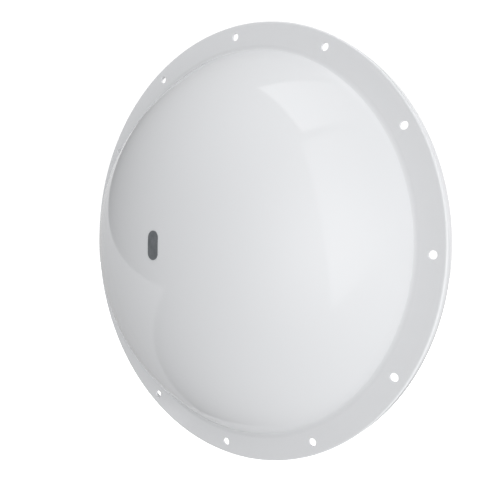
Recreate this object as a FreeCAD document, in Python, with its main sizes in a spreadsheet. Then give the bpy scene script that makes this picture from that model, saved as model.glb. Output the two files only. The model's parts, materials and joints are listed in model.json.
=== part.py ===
import FreeCAD, Part
import math
import os
import re
import Sketcher
from FreeCAD import Placement, Rotation, Vector

# Pole-mounted dish antenna closed by a domed radome.
# Row frame in millimetres: the mast axis is the Z axis, +Z is up and the antenna looks along -Y.
# A "reach" is a distance in front of the mast axis, so a point at a reach has y = -reach.

DRIVING = [
    ("mast_radius", 30.15, "outside radius of the mast that the clamp holds"),
    ("saddle_width", 116, "width of the saddle and of the clamp jaws"),
    ("saddle_height", 160, "length of the saddle along the mast"),
    ("saddle_front", 60, "reach of the saddle's front face"),
    ("saddle_rear", 5, "reach of the saddle's rear edges beside the mast"),
    ("lug_radius", 24, "round end of each kingpin lug"),
    ("lug_inside", 50, "height of the inner face of each lug above or below the middle"),
    ("lug_thick", 12, "thickness of each lug"),
    ("kingpin_reach", 90, "reach of the upright azimuth axis"),
    ("kingpin_radius", 8, "M16 kingpin"),
    ("clamp_bolt_radius", 5, "M10 clamp bolt"),
    ("clamp_bolt_side", 43, "clamp bolt distance from the mast axis, sideways"),
    ("clamp_bolt_level", 58, "clamp bolt height above or below the middle"),
    ("clamp_bolt_rear", 76, "how far the clamp bolts stick out behind the mast axis"),
    ("jaw_front", 8, "distance of the jaw's open edges behind the mast axis"),
    ("jaw_thick", 32, "thickness of a jaw"),
    ("jaw_height", 32, "height of a jaw"),
    ("jaw_chamfer", 7, "bevelled rear corners of a jaw"),
    ("body_gap", 0.3, "gap between pieces that move past each other"),
    ("running_gap", 0.1, "radial gap of a pin in its bearing"),
    ("bolt_gap", 0.4, "radial gap of a bolt in its hole"),
    ("washer_thick", 2, "flat washers"),
    ("hexagon_corner", 1.85, "hexagon corner radius of heads and nuts, over the screw radius"),
    ("head_ratio", 1.28, "height of a bolt head, over the screw radius"),
    ("nut_ratio", 1.6, "height of a nut, over the screw radius"),
    ("thin_nut_ratio", 1.15, "height of a thin nut, over the screw radius"),
    ("spare_ratio", 0.65, "thread that shows past a nut, over the screw radius"),
    ("boss_radius", 27, "kingpin boss of the yoke"),
    ("yoke_plate_rear", 116, "reach of the rear face of the yoke's cross plate"),
    ("yoke_plate_thick", 14, "thickness of the yoke's cross plate"),
    ("yoke_half_height", 30, "half height of the yoke's cross plate"),
    ("anchor_half_width", 20, "half width of the plate that carries the adjuster rod"),
    ("anchor_drop", 95, "how far that plate reaches below the middle"),
    ("arm_inside", 72, "inner face of each yoke arm, sideways"),
    ("arm_thick", 12, "thickness of each yoke arm"),
    ("arm_radius", 24, "round end of each yoke arm"),
    ("pivot_reach", 175, "reach of the level elevation axis"),
    ("pivot_radius", 6, "M12 pivot bolt"),
    ("lock_level", 50, "height of the lock bolts above the elevation axis"),
    ("lock_radius", 5, "M10 lock bolt"),
    ("lock_arm_radius", 15, "round top of each yoke arm"),
    ("lock_slot_half_angle", 16.5, "half the travel of the lock slots, degrees"),
    ("rod_drop", 75, "adjuster rod below the elevation axis"),
    ("rod_radius", 6, "M12 adjuster rod"),
    ("rod_rear", 105, "reach of the adjuster rod's rear end"),
    ("rod_front", 217, "reach of the adjuster rod's front end"),
    ("trunnion_radius", 12, "cross bar that the adjuster rod passes through"),
    ("trunnion_slot_side", 8, "half width of the rod's opening in the cross bar"),
    ("trunnion_slot_rise", 3.2, "extra room under the rod for the bar's rise at full tilt"),
    ("trunnion_bridge", 5, "thickness of the two bridges that close the opening"),
    ("trunnion_overhang", 6, "how far the cross bar sticks out past the ears"),
    ("trunnion_slack", 0.6, "room between the cross bar and the adjuster's washers"),
    ("clip_radius", 16, "outside of the clips on the cross bar"),
    ("ear_inside", 60, "inner face of each hub ear, sideways"),
    ("ear_thick", 10, "thickness of each hub ear"),
    ("ear_top", 66, "top of the ears above the elevation axis"),
    ("ear_bottom", 92, "bottom of the ears below the elevation axis"),
    ("ear_half_width", 24, "half width of an ear at the elevation axis"),
    ("ear_root", 55, "half height of an ear where it meets the hub plate"),
    ("ear_chamfer", 8, "bevelled corners of an ear"),
    ("hub_radius", 90, "hub plate"),
    ("hub_thick", 10, "hub plate thickness"),
    ("hub_bolt_circle", 55, "radius of the hub bolt circle"),
    ("hub_bolt_radius", 4, "M8 hub bolt"),
    ("hub_bolt_count", 6, "bolts that hold the dish to the hub"),
    ("seat_radius", 70, "flat middle of the dish"),
    ("seat_hole", 40, "hole in the middle of the dish"),
    ("ring_inside", 42, "clamp ring inside the dish"),
    ("ring_outside", 66, "clamp ring inside the dish"),
    ("ring_thick", 4, "clamp ring inside the dish"),
    ("focal_length", 225, "focal length of the dish"),
    ("aperture_radius", 297, "where the dish meets its flat rim"),
    ("dish_thick", 2.5, "sheet thickness of the dish"),
    ("rim_radius", 320, "outside of the dish's rim"),
    ("lip_depth", 8, "turned lip of the rim"),
    ("notch_inside", 298.5, "where the notches in the dish's rim and in the seal begin"),
    ("notch_half_width", 22, "half width of the notches behind the rim holes"),
    ("seal_thick", 3, "rubber between rim and radome"),
    ("seal_slack", 0.1, "room between the seal's outer band and the turned lip"),
    ("flange_reach", 360, "reach of the radome's flange face"),
    ("flange_thick", 3, "radome flange"),
    ("radome_radius", 325, "outside of the radome"),
    ("radome_wall", 2.5, "radome skirt and dome wall"),
    ("skirt_depth", 16, "radome skirt, from the flange face back"),
    ("skirt_corner", 2.5, "rounded edge between flange and skirt"),
    ("dome_rise", 156.5, "top of the dome in front of the flange face"),
    ("dome_sphere", 339.9, "outside radius of curvature of the dome"),
    ("dome_edge", 285, "crease where the dome ends"),
    ("dome_foot", 292.8, "where the curved foot of the dome runs into the flange"),
    ("hole_circle", 308.1, "radius of the rim hole circle"),
    ("hole_radius", 5.4, "rim holes"),
    ("hole_count", 12, "rim holes"),
    ("badge_half_width", 9, "round ends of the badge"),
    ("badge_half_length", 19, "badge, middle to tip"),
    ("badge_thick", 0.8, "badge"),
    ("badge_depth", 10, "depth of the prism that trims the badge to its outline"),
    ("feed_radius", 14, "outside of the feed tube"),
    ("feed_bore", 12, "inside of the feed tube"),
    ("feed_flange_radius", 34, "flange behind the hub plate"),
    ("feed_flange_thick", 6, "flange behind the hub plate"),
    ("feed_mouth", 452, "reach of the feed tube's mouth"),
    ("cone_length", 20, "plastic cone between feed mouth and splash plate"),
    ("cone_radius", 34, "wide end of the plastic cone"),
    ("splash_radius", 38, "splash plate in front of the feed"),
    ("splash_thick", 6, "splash plate in front of the feed"),
    ("splash_chamfer", 2, "bevelled rear edge of the splash plate"),
    ("splash_dish_radius", 18, "raised middle of the splash plate"),
    ("splash_dish_rise", 3, "height of that middle"),
    ("block_half", 20, "half width of the waveguide block"),
    ("block_length", 37, "waveguide block along the feed"),
    ("port_pad", 11, "half width of a connector's square base"),
    ("port_pad_thick", 3, "connector base"),
    ("port_radius", 8, "coaxial connector barrel"),
    ("port_length", 18, "coaxial connector barrel"),
    ("cap_radius", 9.5, "connector dust cap"),
    ("cap_length", 9, "connector dust cap"),
    ("dog_outside", 46, "outer edge of the clamp dogs around the feed flange"),
    ("dog_inside", 31, "inner edge of the clamp dogs' lips"),
    ("dog_half_width", 6, "clamp dogs"),
    ("dog_lip", 3, "clamp dog lip"),
    ("dog_slack", 0.5, "room between the dogs and the rim of the feed flange"),
    ("dog_screw_inset", 6, "dog screw axis, in from the dogs' outer edge"),
    ("cap_head_ratio", 1.7, "cap screw head radius and height, over the screw radius"),
    ("stud_radius", 3, "M6 earth stud and screws"),
    ("stud_length", 20, "earth stud"),
    ("stud_level", 78, "earth stud above the feed axis"),
]

ALONG_X = Vector(1, 0, 0)
ALONG_Y = Vector(0, 1, 0)
ALONG_Z = Vector(0, 0, 1)
AHEAD = Vector(0, -1, 0)
SIDES = (1, -1)
HUB_BOLT_START = 30
DOG_COUNT = 3
DOG_START = 30

# Reaches that follow from the driving dimensions, as expressions of the sheet's names.
SEAL_FRONT = "(flange_reach - flange_thick - body_gap)"
RIM_FRONT = f"({SEAL_FRONT} - seal_thick)"
VERTEX = f"({RIM_FRONT} - aperture_radius^2 / (4 * focal_length))"
SEAT_FRONT = f"({VERTEX} + seat_radius^2 / (4 * focal_length))"
SEAT_BACK = f"({SEAT_FRONT} - dish_thick)"
HUB_BACK = f"({SEAT_BACK} - hub_thick)"
FEED_FRONT = f"({HUB_BACK} - body_gap)"
FEED_BACK = f"({FEED_FRONT} - feed_flange_thick)"
PORT_REACH = f"({FEED_BACK} - block_length / 2)"
DOME_CENTRE = "(flange_reach + dome_rise - dome_sphere)"
EDGE_RISE = f"({DOME_CENTRE} + sqrt(dome_sphere^2 - dome_edge^2) - flange_reach)"

doc = FreeCAD.newDocument("RadomeAntenna")
sheet = doc.addObject("Spreadsheet::Sheet", "Dims")
ALIASES = {alias for alias, _, _ in DRIVING}
subparts = []


def fill_sheet():
    for row, (alias, number, note) in enumerate(DRIVING, start=1):
        sheet.set(f"A{row}", alias)
        sheet.set(f"B{row}", str(number))
        sheet.setAlias(f"B{row}", alias)
        sheet.set(f"C{row}", note)
    doc.recompute()


def bind(text):
    """The text with each of the sheet's names turned into a reference to its cell."""
    return re.sub(r"[a-z_]+", lambda word: f"Dims.{word[0]}" if word[0] in ALIASES else word[0], text)


def size(text):
    return float(sheet.evalExpression(bind(text)))


def keep(item, label):
    """Marks a finished sub-part: its label is the name of its file."""
    item.Label = label
    subparts.append(item)
    return item


# ---------------------------------------------------------------- primitives

def primitive(kind, sizes, at, along=ALONG_Z):
    """A Part primitive whose base sits at the expressions in at, with its axis along a vector."""
    item = doc.addObject("Part::" + kind, kind)
    for name, text in sizes.items():
        item.setExpression(name, bind(text))
    item.Placement = Placement(Vector(), Rotation(ALONG_Z, along))
    for axis, text in zip("xyz", at):
        item.setExpression("Placement.Base." + axis, bind(text))
    return item


def cylinder(radius, length, at, along=ALONG_Z):
    return primitive("Cylinder", {"Radius": radius, "Height": length}, at, along)


def hexagon(radius, thick, at, along):
    """A hexagon head or nut for a screw of the given radius."""
    item = primitive("Prism", {"Circumradius": f"({radius}) * hexagon_corner", "Height": thick}, at, along)
    item.Polygon = 6
    return item


def box(low, high):
    """A box between two corners given as expressions."""
    spans = [f"({far}) - ({near})" for near, far in zip(low, high)]
    return primitive("Box", dict(zip(("Length", "Width", "Height"), spans)), low)


def moved(at, along, distance):
    """The point at, moved along an axis vector by an expression."""
    return tuple(f"{place} + ({distance}) * ({step:g})" for place, step in zip(at, along))


def fuse(items):
    if len(items) == 1:
        return items[0]
    joined = doc.addObject("Part::MultiFuse", "Fusion")
    joined.Shapes = items
    return joined


def cut(solid, holes):
    result = doc.addObject("Part::Cut", "Cut")
    result.Base = solid
    result.Tool = fuse(holes)
    return result


def bolt(radius, length, at, along):
    """A hexagon bolt: at is the middle of the face under its head, and the shank runs along."""
    head = f"({radius}) * head_ratio"
    return [
        hexagon(radius, head, moved(at, along, f"-({head})"), along),
        cylinder(radius, length, at, along)]


def bolts(label, radius, grip, places):
    """One sub-part with the same bolt at each place (point, axis), long enough for a nut past its grip."""
    length = f"{grip} + {radius} * (nut_ratio + spare_ratio)"
    pieces = []
    for at, along in places:
        pieces += bolt(radius, length, at, along)
    keep(fuse(pieces), label)


def rings(label, inside, outside, thick, places, make=cylinder):
    """One sub-part that holds the same washer or nut at each place (point, axis)."""
    solids = [make(outside, thick, at, along) for at, along in places]
    holes = [cylinder(inside, thick, at, along) for at, along in places]
    keep(cut(fuse(solids), holes), label)


def nuts(label, radius, places, gap="running_gap", ratio="nut_ratio"):
    """One sub-part that holds the same hexagon nut at each place (point, axis)."""
    rings(label, f"{radius} + {gap}", radius, f"{radius} * {ratio}", places, make=hexagon)


# ---------------------------------------------------------------- sketches and bodies

def new_body(label):
    body = doc.addObject("PartDesign::Body", label)
    body.Placement = Placement()
    return keep(body, label)


def sketch_on(body, role, offset="0"):
    """A sketch on one of the body's own origin planes, moved along that plane's normal."""
    plane = next(item for item in body.Origin.OriginFeatures if item.Role == role)
    sketch = body.newObject("Sketcher::SketchObject", "Sketch")
    sketch.AttachmentSupport = [(plane, "")]
    sketch.MapMode = "FlatFace"
    sketch.setExpression("AttachmentOffset.Base.z", bind(offset))
    return sketch


def pin_point(sketch, geometry, end, place):
    """Holds a point of the sketch at the two expressions in place."""
    for axis, on_axis, text in (("X", -2, place[0]), ("Y", -1, place[1])):
        if abs(size(text)) < 1e-9:
            sketch.addConstraint(Sketcher.Constraint("PointOnObject", geometry, end, on_axis))
            continue
        constraint = Sketcher.Constraint("Distance" + axis, -1, 1, geometry, end, size(text))
        index = sketch.addConstraint(constraint)
        sketch.setExpression(f"Constraints[{index}]", bind(text))


def set_radius(sketch, geometry, text):
    index = sketch.addConstraint(Sketcher.Constraint("Radius", geometry, size(text)))
    sketch.setExpression(f"Constraints[{index}]", bind(text))


def arc_between(start, finish, radius, centre_left):
    """The short arc from start to finish, whose centre lies left or right of the way there."""
    chord = finish - start
    side = Vector(-chord.y, chord.x, 0).normalize() * (1 if centre_left else -1)
    centre = (start + finish) * 0.5 + side * math.sqrt(radius ** 2 - (chord.Length / 2) ** 2)
    first, last = (start, finish) if centre_left else (finish, start)
    angles = [math.atan2(point.y - centre.y, point.x - centre.x) for point in (first, last)]
    return Part.ArcOfCircle(Part.Circle(centre, ALONG_Z, radius), *angles)


def outline(sketch, corners):
    """A closed outline. A corner is (x, y), or (x, y, radius, "left" or "right") where an arc starts."""
    points = [Vector(size(corner[0]), size(corner[1]), 0) for corner in corners]
    ends = []
    for index, corner in enumerate(corners):
        start, finish = points[index], points[(index + 1) % len(points)]
        if len(corner) == 2:
            geometry = sketch.addGeometry(Part.LineSegment(start, finish), False)
            ends.append((geometry, 1, 2))
        else:
            left = corner[3] == "left"
            geometry = sketch.addGeometry(arc_between(start, finish, size(corner[2]), left), False)
            ends.append((geometry, 1, 2) if left else (geometry, 2, 1))
    for index, (geometry, start, _) in enumerate(ends):
        before, _, finish = ends[index - 1]
        sketch.addConstraint(Sketcher.Constraint("Coincident", before, finish, geometry, start))
        pin_point(sketch, geometry, start, corners[index])
    for corner, (geometry, _, _) in zip(corners, ends):
        if len(corner) == 4:
            set_radius(sketch, geometry, corner[2])


def circle(sketch, place, radius):
    centre = Vector(size(place[0]), size(place[1]), 0)
    geometry = sketch.addGeometry(Part.Circle(centre, ALONG_Z, size(radius)), False)
    pin_point(sketch, geometry, 3, place)
    set_radius(sketch, geometry, radius)


def pad(body, sketch, length):
    feature = body.newObject("PartDesign::Pad", "Pad")
    feature.Profile = sketch
    feature.setExpression("Length", bind(length))
    return feature


def pocket(body, sketch, length, turned=False):
    """A pocket along the sketch's normal, or against it where turned is set."""
    feature = body.newObject("PartDesign::Pocket", "Pocket")
    feature.Profile = sketch
    feature.setExpression("Length", bind(length))
    feature.Reversed = not turned
    return feature


def revolution(body, sketch):
    """A full turn about the sketch's upright axis."""
    feature = body.newObject("PartDesign::Revolution", "Revolution")
    feature.Profile = sketch
    feature.ReferenceAxis = (sketch, ["V_Axis"])
    feature.Angle = 360
    return feature


def around(body, feature, count):
    """Repeats a feature about the body's Y axis."""
    pattern = body.newObject("PartDesign::PolarPattern", "PolarPattern")
    pattern.Originals = [feature]
    axis = next(item for item in body.Origin.OriginFeatures if item.Role == "Y_Axis")
    pattern.Axis = (axis, [""])
    pattern.Angle = 360
    pattern.setExpression("Occurrences", bind(count))
    body.Tip = pattern


def on_circle(radius, count, start=0.0):
    """Places (x, z) as expressions on a circle about the boresight."""
    turns = [start + 360 * index / size(count) for index in range(int(size(count)))]
    return [(f"({radius}) * cos({turn:g})", f"({radius}) * sin({turn:g})") for turn in turns]


# ---------------------------------------------------------------- mast mount

def clamp_holes(body, level, start, depth):
    """The two holes of the clamp bolts at one level, cut backwards from a reach."""
    holes = sketch_on(body, "XZ_Plane", start)
    for side in SIDES:
        place = (f"{side} * clamp_bolt_side", f"{level} * clamp_bolt_level")
        circle(holes, place, "clamp_bolt_radius + bolt_gap")
    pocket(body, holes, depth)


def mast_bracket():
    """Saddle with a half-round groove for the mast."""
    body = new_body("mast_bracket")
    half = "saddle_width / 2"
    mouth = "sqrt(mast_radius^2 - saddle_rear^2)"
    profile = sketch_on(body, "XY_Plane", "-saddle_height / 2")
    outline(profile, [
        (f"-{half}", "-saddle_front"), (half, "-saddle_front"), (half, "-saddle_rear"),
        (mouth, "-saddle_rear", "mast_radius", "right"), (f"-({mouth})", "-saddle_rear"),
        (f"-{half}", "-saddle_rear")])
    pad(body, profile, "saddle_height")
    for level in SIDES:
        clamp_holes(body, level, "0", "saddle_front")


def kingpin_lug(label, base):
    """A plate welded to the front of the saddle, with the kingpin's hole near its round end."""
    body = new_body(label)
    plate = sketch_on(body, "XY_Plane", base)
    outline(plate, [
        ("-lug_radius", "-saddle_front"), ("-lug_radius", "-kingpin_reach", "lug_radius", "left"),
        ("0", "-kingpin_reach - lug_radius", "lug_radius", "left"), ("lug_radius", "-kingpin_reach"),
        ("lug_radius", "-saddle_front")])
    pad(body, plate, "lug_thick")
    bore = sketch_on(body, "XY_Plane", base)
    circle(bore, ("0", "-kingpin_reach"), "kingpin_radius + body_gap")
    pocket(body, bore, "lug_thick")


def clamp_jaw(label, level):
    """A jaw with a round groove that pulls the mast into the saddle."""
    body = new_body(label)
    half = "saddle_width / 2"
    rear = "jaw_front + jaw_thick"
    mouth = "sqrt(mast_radius^2 - jaw_front^2)"
    profile = sketch_on(body, "XY_Plane", f"{level} * clamp_bolt_level - jaw_height / 2")
    outline(profile, [
        (f"-{half}", "jaw_front"), (f"-({mouth})", "jaw_front", "mast_radius", "right"), (mouth, "jaw_front"),
        (half, "jaw_front"), (half, f"{rear} - jaw_chamfer"), (f"{half} - jaw_chamfer", rear),
        (f"-{half} + jaw_chamfer", rear), (f"-{half}", f"{rear} - jaw_chamfer")])
    pad(body, profile, "jaw_height")
    clamp_holes(body, level, f"-({rear})", "jaw_thick")


def clamp_fasteners():
    """Four long bolts from the front of the saddle through the jaws, with washers and nuts."""
    corners = [(f"{side} * clamp_bolt_side", f"{level} * clamp_bolt_level")
               for side in SIDES for level in SIDES]
    jaw_back = "jaw_front + jaw_thick"
    length = "saddle_front + clamp_bolt_rear"
    pieces = []
    for x, z in corners:
        pieces += bolt("clamp_bolt_radius", length, (x, "-saddle_front", z), ALONG_Y)
    keep(fuse(pieces), "clamp_bolts")
    rings("clamp_washers", "clamp_bolt_radius + bolt_gap", "clamp_bolt_radius * 2", "washer_thick",
          [((x, jaw_back, z), ALONG_Y) for x, z in corners])
    nuts("clamp_nuts", "clamp_bolt_radius",
         [((x, f"{jaw_back} + washer_thick", z), ALONG_Y) for x, z in corners], gap="body_gap")


def kingpin():
    """The upright azimuth pin, with a washer at each lug and a nut below."""
    middle = ("0", "-kingpin_reach")
    face = "(lug_inside + lug_thick)"
    top = (*middle, f"{face} + washer_thick")
    bottom = (*middle, f"-({face} + washer_thick)")
    bolts("kingpin_bolt", "kingpin_radius", f"2 * ({face} + washer_thick)", [(top, -ALONG_Z)])
    rings("kingpin_washers", "kingpin_radius + body_gap", "kingpin_radius * 1.9", "washer_thick",
          [((*middle, face), ALONG_Z), ((*middle, f"-{face}"), -ALONG_Z)])
    nuts("kingpin_nut", "kingpin_radius", [(bottom, -ALONG_Z)])


# ---------------------------------------------------------------- azimuth yoke

def azimuth_yoke():
    """Boss on the kingpin, cross plate, two arms for the elevation axis, and the rod's anchor plate."""
    body = new_body("azimuth_yoke")
    plate_front = "(yoke_plate_rear + yoke_plate_thick)"
    boss_half = "(lug_inside - body_gap - washer_thick)"
    boss = sketch_on(body, "XY_Plane", f"-{boss_half}")
    circle(boss, ("0", "-kingpin_reach"), "boss_radius")
    pad(body, boss, f"2 * {boss_half}")
    neck = sketch_on(body, "XY_Plane", "-yoke_half_height")
    outline(neck, [
        ("-anchor_half_width", f"-{plate_front} + 1"), ("anchor_half_width", f"-{plate_front} + 1"),
        ("anchor_half_width", "-kingpin_reach"), ("-anchor_half_width", "-kingpin_reach")])
    pad(body, neck, "2 * yoke_half_height")
    reach = "(arm_inside + arm_thick)"
    plate = sketch_on(body, "XZ_Plane", "yoke_plate_rear")
    outline(plate, [
        (f"-{reach}", "-yoke_half_height"), ("-anchor_half_width", "-yoke_half_height"),
        ("-anchor_half_width", "-anchor_drop"), ("anchor_half_width", "-anchor_drop"),
        ("anchor_half_width", "-yoke_half_height"), (reach, "-yoke_half_height"),
        (reach, "yoke_half_height"), (f"-{reach}", "yoke_half_height")])
    pad(body, plate, "yoke_plate_thick")
    top_start = "(lock_level + pivot_radius)"
    for side in SIDES:
        arm = sketch_on(body, "YZ_Plane", "arm_inside" if side > 0 else f"-{reach}")
        outline(arm, [
            (f"-{plate_front} + 1", "-yoke_half_height"), (f"-{plate_front} + 1", "yoke_half_height"),
            ("-pivot_reach + lock_arm_radius", top_start, "lock_arm_radius", "left"),
            ("-pivot_reach", f"{top_start} + lock_arm_radius", "lock_arm_radius", "left"),
            ("-pivot_reach - lock_arm_radius", top_start),
            ("-pivot_reach - arm_radius", "0", "arm_radius", "left"), ("-pivot_reach", "-arm_radius")])
        pad(body, arm, "arm_thick")
    kingpin_bore = sketch_on(body, "XY_Plane", f"-{boss_half}")
    circle(kingpin_bore, ("0", "-kingpin_reach"), "kingpin_radius + running_gap")
    pocket(body, kingpin_bore, f"2 * {boss_half}")
    arm_holes = sketch_on(body, "YZ_Plane", f"-{reach}")
    circle(arm_holes, ("-pivot_reach", "0"), "pivot_radius + body_gap")
    circle(arm_holes, ("-pivot_reach", "lock_level"), "lock_radius + bolt_gap")
    pocket(body, arm_holes, f"2 * {reach}")
    rod_hole = sketch_on(body, "XZ_Plane", "yoke_plate_rear")
    circle(rod_hole, ("0", "-rod_drop"), "rod_radius + bolt_gap")
    pocket(body, rod_hole, "yoke_plate_thick")


def yoke_fittings():
    """Bolts, nuts and washers that ride on the yoke."""
    boss_half = "(lug_inside - body_gap - washer_thick)"
    boss_ends = [(("0", "-kingpin_reach", f"{side} * {boss_half}"), ALONG_Z * side) for side in SIDES]
    rings("thrust_washers", "kingpin_radius + body_gap", "boss_radius - 1", "washer_thick", boss_ends)
    outer = "(arm_inside + arm_thick)"
    inner = "(ear_inside - body_gap)"

    def pair(distance, level, outwards=False):
        """A place on each side of the yoke, facing inwards or outwards."""
        turn = 1 if outwards else -1
        return [((f"{side} * ({distance})", "-pivot_reach", level), ALONG_X * (side * turn))
                for side in SIDES]

    bolts("pivot_bolts", "pivot_radius", f"{outer} - {inner}", pair(outer, "0"))
    nuts("pivot_nuts", "pivot_radius", pair(inner, "0"))
    rings("tilt_washers", "pivot_radius + body_gap", "pivot_radius * 2",
          "arm_inside - ear_inside - ear_thick - body_gap", pair("arm_inside", "0"))
    bolts("lock_bolts", "lock_radius", f"{outer} - {inner} + 2 * washer_thick",
          pair(f"{outer} + washer_thick", "lock_level"))
    rings("lock_washers", "lock_radius + running_gap", "lock_radius * 2.1", "washer_thick",
          pair(outer, "lock_level", outwards=True) + pair(inner, "lock_level"))
    nuts("lock_nuts", "lock_radius", pair(f"{inner} - washer_thick", "lock_level"))


def adjuster():
    """Threaded rod on the yoke, with its lock nut and the two nuts that travel on it."""
    rod = cylinder("rod_radius", "rod_front - rod_rear", ("0", "-rod_rear", "-rod_drop"), AHEAD)
    keep(rod, "adjuster_rod")
    nuts("rod_lock_nut", "rod_radius", [(("0", "-yoke_plate_rear", "-rod_drop"), ALONG_Y)])
    washers = []
    thin_nuts = []
    for side in SIDES:
        outwards = ALONG_Y * side
        face = ("0", f"-pivot_reach + {side} * (trunnion_radius + trunnion_slack)", "-rod_drop")
        washers.append((face, outwards))
        thin_nuts.append((moved(face, outwards, "washer_thick"), outwards))
    rings("adjuster_washers", "rod_radius + body_gap", "rod_radius * 1.9", "washer_thick", washers)
    nuts("adjuster_nuts", "rod_radius", thin_nuts, gap="body_gap", ratio="thin_nut_ratio")


def trunnion():
    """Cross bar in the ears: two round stubs joined by a bridge over the rod and one under it."""
    outside = "(ear_inside + ear_thick)"
    length = f"{outside} + trunnion_overhang - trunnion_slot_side"
    stubs = []
    clips = []
    for side in SIDES:
        foot = (f"{side} * trunnion_slot_side", "-pivot_reach", "-rod_drop")
        stubs.append(cylinder("trunnion_radius", length, foot, ALONG_X * side))
        clips.append(((f"{side} * ({outside} + body_gap)", "-pivot_reach", "-rod_drop"), ALONG_X * side))
    keep(fuse(stubs), "trunnion_stubs")
    over = "-rod_drop + rod_radius + bolt_gap"
    under = "-rod_drop - rod_radius - bolt_gap - trunnion_slot_rise"
    bridges = []
    for low, high in ((over, f"{over} + trunnion_bridge"), (f"{under} - trunnion_bridge", under)):
        bridges.append(box(("-trunnion_slot_side", "-pivot_reach - trunnion_radius", low),
                           ("trunnion_slot_side", "-pivot_reach + trunnion_radius", high)))
    keep(fuse(bridges), "trunnion_bridges")
    rings("trunnion_clips", "trunnion_radius + running_gap", "clip_radius", "washer_thick", clips)


# ---------------------------------------------------------------- dish and hub

def rear_hub():
    """Round plate behind the dish, with two ears for the elevation axis."""
    body = new_body("rear_hub")
    plate = sketch_on(body, "XZ_Plane", HUB_BACK)
    circle(plate, ("0", "0"), "hub_radius")
    pad(body, plate, "hub_thick")
    front = f"-{HUB_BACK} - hub_thick / 2"
    ahead = "-pivot_reach - ear_half_width"
    behind = "-pivot_reach + ear_half_width"
    for side in SIDES:
        ear = sketch_on(body, "YZ_Plane", "ear_inside" if side > 0 else "-ear_inside - ear_thick")
        outline(ear, [
            (front, "-ear_root"), (ahead, "-ear_bottom + ear_chamfer"),
            (f"{ahead} + ear_chamfer", "-ear_bottom"), (f"{behind} - ear_chamfer", "-ear_bottom"),
            (behind, "-ear_bottom + ear_chamfer"), (behind, "ear_top - ear_chamfer"),
            (f"{behind} - ear_chamfer", "ear_top"), (ahead, "ear_top"), (front, "ear_root")])
        pad(body, ear, "ear_thick")
    bore = sketch_on(body, "XZ_Plane", HUB_BACK)
    circle(bore, ("0", "0"), "feed_radius + running_gap")
    for place in on_circle("hub_bolt_circle", "hub_bolt_count", HUB_BOLT_START):
        circle(bore, place, "hub_bolt_radius + bolt_gap")
    pocket(body, bore, "hub_thick")
    whole = "2 * (ear_inside + ear_thick)"
    pins = sketch_on(body, "YZ_Plane", "-ear_inside - ear_thick")
    circle(pins, ("-pivot_reach", "0"), "pivot_radius + running_gap")
    circle(pins, ("-pivot_reach", "-rod_drop"), "trunnion_radius + running_gap")
    pocket(body, pins, whole)
    lock = sketch_on(body, "YZ_Plane", "-ear_inside - ear_thick")
    tip = "(lock_radius + bolt_gap)"
    outer = f"(lock_level + {tip})"
    inner = f"(lock_level - {tip})"
    lean = "sin(lock_slot_half_angle)"
    upright = "cos(lock_slot_half_angle)"
    end_shift = f"lock_level * {lean} + {tip} * {upright}"
    end_level = f"lock_level * {upright} - {tip} * {lean}"
    outline(lock, [
        (f"-pivot_reach - {outer} * {lean}", f"{outer} * {upright}", tip, "left"),
        (f"-pivot_reach - ({end_shift})", end_level, tip, "left"),
        (f"-pivot_reach - {inner} * {lean}", f"{inner} * {upright}", inner, "right"),
        (f"-pivot_reach + {inner} * {lean}", f"{inner} * {upright}", tip, "left"),
        (f"-pivot_reach + ({end_shift})", end_level, tip, "left"),
        (f"-pivot_reach + {outer} * {lean}", f"{outer} * {upright}", outer, "left")])
    pocket(body, lock, whole)


def dish_curve(shift):
    """The parabola from the seat to the rim, moved back by shift, as a curve of degree two."""
    near, far = size("seat_radius"), size("aperture_radius")
    focal, vertex = size("focal_length"), size(VERTEX) - shift
    heights = [vertex + first * last / (4 * focal) for first, last in ((near, near), (near, far), (far, far))]
    curve = Part.BezierCurve()
    curve.setPoles([Vector(x, -y, 0) for x, y in zip((near, (near + far) / 2, far), heights)])
    return curve


def reflector():
    """Spun dish: flat seat, parabola, flat rim notched behind the rim holes, and a lip turned back."""
    thick = size("dish_thick")
    hole, seat, rim = size("seat_hole"), size("seat_radius"), size("rim_radius")
    front, back = -size(RIM_FRONT), -size(RIM_FRONT) + thick
    aperture = size("aperture_radius")
    lip = front + size("lip_depth")
    seat_front, seat_back = -size(SEAT_FRONT), -size(SEAT_BACK)
    rim_way = [(aperture, front), (rim, front), (rim, lip),
               (rim - thick, lip), (rim - thick, back), (aperture, back)]
    seat_way = [(seat, seat_back), (hole, seat_back), (hole, seat_front), (seat, seat_front)]
    edges = [dish_curve(0).toShape(), dish_curve(thick).toShape()]
    for way in (rim_way, seat_way):
        corners = [Vector(x, y, 0) for x, y in way]
        edges += [Part.LineSegment(start, end).toShape() for start, end in zip(corners, corners[1:])]
    wire = Part.Wire(Part.__sortEdges__(edges))
    dish = Part.Face(wire).revolve(Vector(), ALONG_Y, 360)
    long = size("flange_reach")
    wide, inner = size("notch_half_width"), size("notch_inside")
    holes = []
    for index in range(int(size("hole_count"))):
        notch = Part.makeBox(rim, long, 2 * wide, Vector(inner, -long, -wide))
        holes.append(notch.rotate(Vector(), ALONG_Y, 360 * index / size("hole_count")))
    for index in range(int(size("hub_bolt_count"))):
        turn = math.radians(HUB_BOLT_START + 360 * index / size("hub_bolt_count"))
        at = Vector(math.cos(turn), 0, math.sin(turn)) * size("hub_bolt_circle")
        holes.append(Part.makeCylinder(size("hub_bolt_radius + bolt_gap"), long, at, AHEAD))
    item = doc.addObject("Part::Feature", "reflector")
    item.Shape = dish.cut(holes)
    item.Placement = Placement()
    keep(item, "reflector")


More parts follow.
